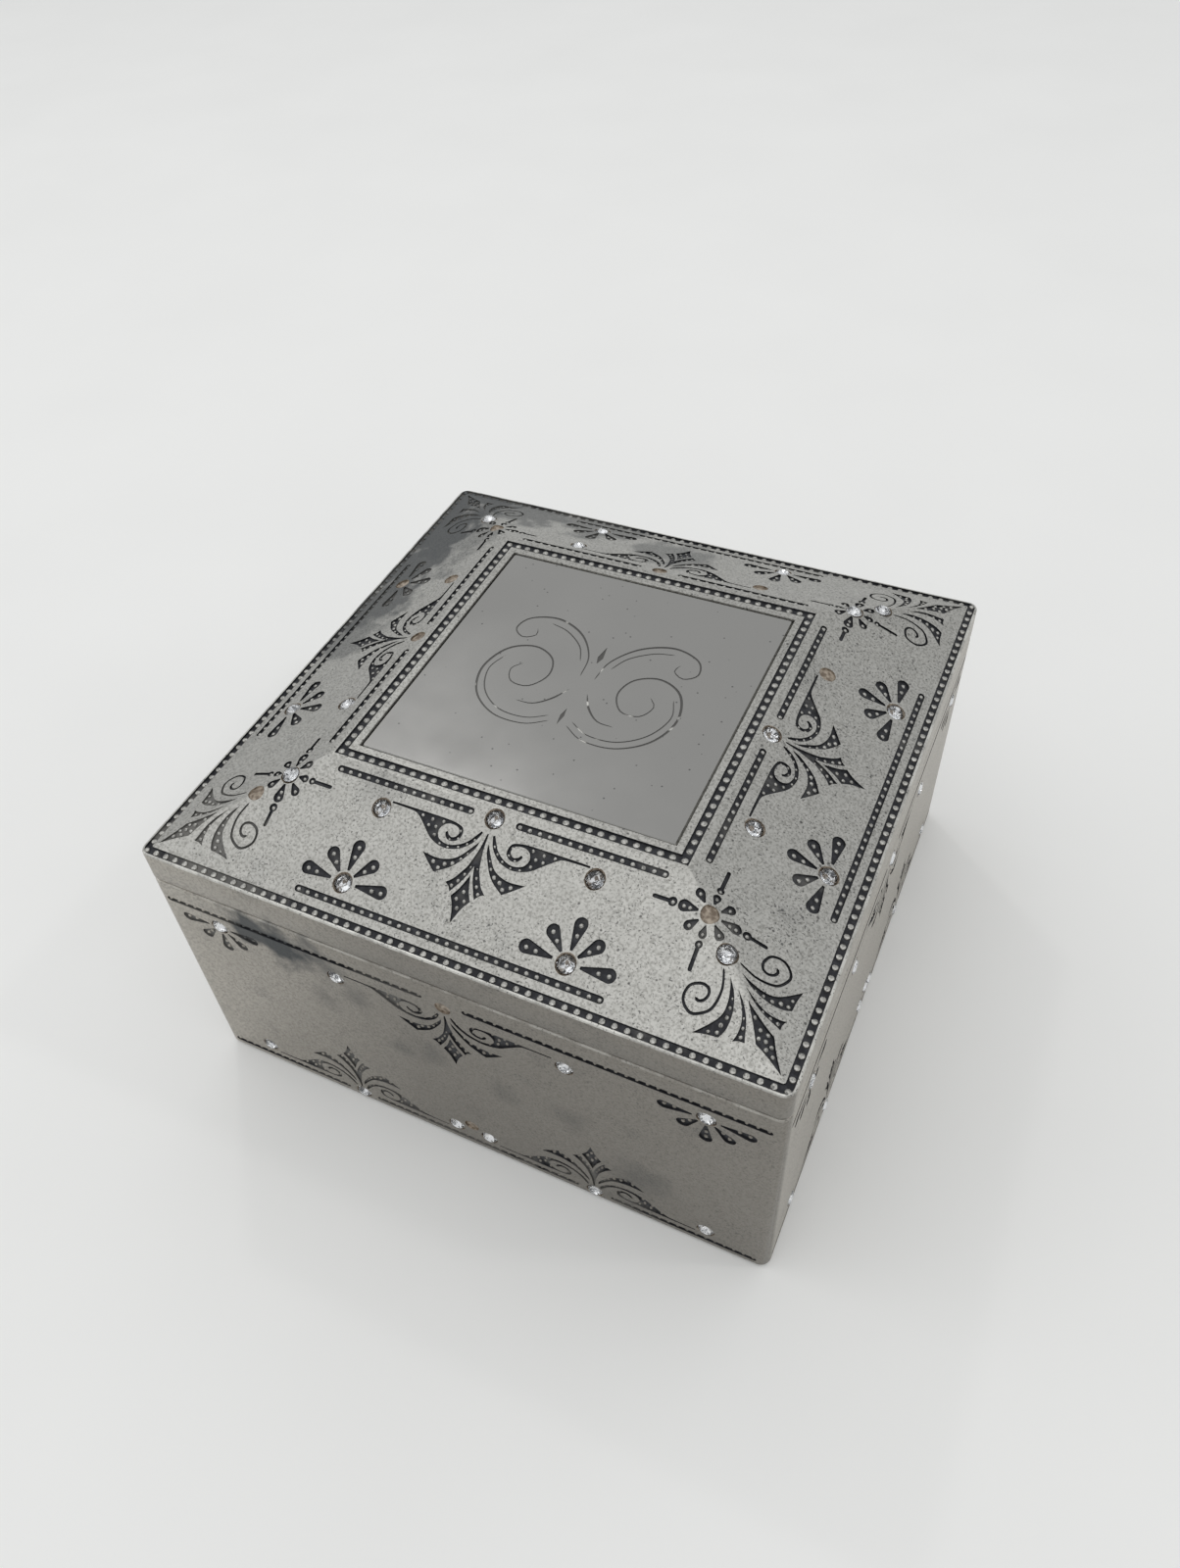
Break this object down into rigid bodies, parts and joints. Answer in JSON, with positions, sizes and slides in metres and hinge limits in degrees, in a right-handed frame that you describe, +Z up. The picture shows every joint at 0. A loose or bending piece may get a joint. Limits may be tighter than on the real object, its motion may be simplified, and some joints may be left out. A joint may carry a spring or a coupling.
{
  "type": "trinket box",
  "caption": "Square hinged trinket box in antique pewter-finished cast metal, with a hipped lid, a polished plate in a beaded frame, set stones and a velvet lining.",
  "frame": {"origin": "on the supporting surface, under the middle of the whole object's box in plan", "axes": "+X to the right along the front edge, +Y from the front to the hinge at the back, +Z up"},
  "size_m": [0.1103, 0.1118, 0.0675],
  "materials": {
    "antique_pewter": "antique pewter plate on cast zinc alloy, dark in the recesses",
    "polished_plate": "polished, with fine scratches and hairline engraving",
    "hinge_steel": "satin nickel plate",
    "crystal": "clear faceted, foil backed",
    "velvet": "short pile velvet on card",
    "felt": "pressed felt"
  },
  "bodies": {
    "body": {"body_casting": "antique_pewter", "base_felt": "felt", "floor_pad": "velvet", "liner_front": "velvet", "liner_back": "velvet", "liner_left": "velvet", "liner_right": "velvet", "hinge_leaf_body": "hinge_steel", "hinge_pin": "hinge_steel", "rivet_body_left": "hinge_steel", "rivet_body_right": "hinge_steel", "stone_wall_front_tail_left": "crystal", "stone_wall_front_tail_right": "crystal", "stone_wall_front_daisy_left": "crystal", "stone_wall_front_daisy_right": "crystal", "stone_wall_front_low_inner_left": "crystal", "stone_wall_front_low_inner_right": "crystal", "stone_wall_front_low_outer_left": "crystal", "stone_wall_front_low_outer_right": "crystal", "stone_wall_front_low_root_left": "crystal", "stone_wall_front_low_root_right": "crystal", "stone_wall_right_centre": "crystal", "stone_wall_right_tail_left": "crystal", "stone_wall_right_tail_right": "crystal", "stone_wall_right_daisy_left": "crystal", "stone_wall_right_daisy_right": "crystal", "stone_wall_right_low_middle": "crystal", "stone_wall_right_low_inner_left": "crystal", "stone_wall_right_low_inner_right": "crystal", "stone_wall_right_low_outer_left": "crystal", "stone_wall_right_low_outer_right": "crystal", "stone_wall_right_low_root_left": "crystal", "stone_wall_right_low_root_right": "crystal"},
    "lid": {"lid_casting": "antique_pewter", "engraved_plate": "polished_plate", "lid_pad": "velvet", "hinge_leaf_lid": "hinge_steel", "rivet_lid_left": "hinge_steel", "rivet_lid_right": "hinge_steel", "stone_front_centre": "crystal", "stone_front_tail_left": "crystal", "stone_front_tail_right": "crystal", "stone_front_daisy_left": "crystal", "stone_front_daisy_right": "crystal", "stone_right_centre": "crystal", "stone_right_tail_left": "crystal", "stone_right_daisy_left": "crystal", "stone_right_daisy_right": "crystal", "stone_back_tail_right": "crystal", "stone_back_daisy_left": "crystal", "stone_back_daisy_right": "crystal", "stone_left_tail_right": "crystal", "stone_left_daisy_right": "crystal", "stone_corner_front_left_star": "crystal", "stone_corner_front_right_fan": "crystal", "stone_corner_back_right_star": "crystal", "stone_corner_back_right_fan": "crystal", "stone_corner_back_left_fan": "crystal"}
  },
  "joints": [
    {"name": "lid_hinge", "type": "hinge", "parent": "body", "child": "lid", "pos_m": [0, 0.05443, 0.0517], "axis": [-1, 0, 0], "range_deg": [0, 100]}
  ]
}
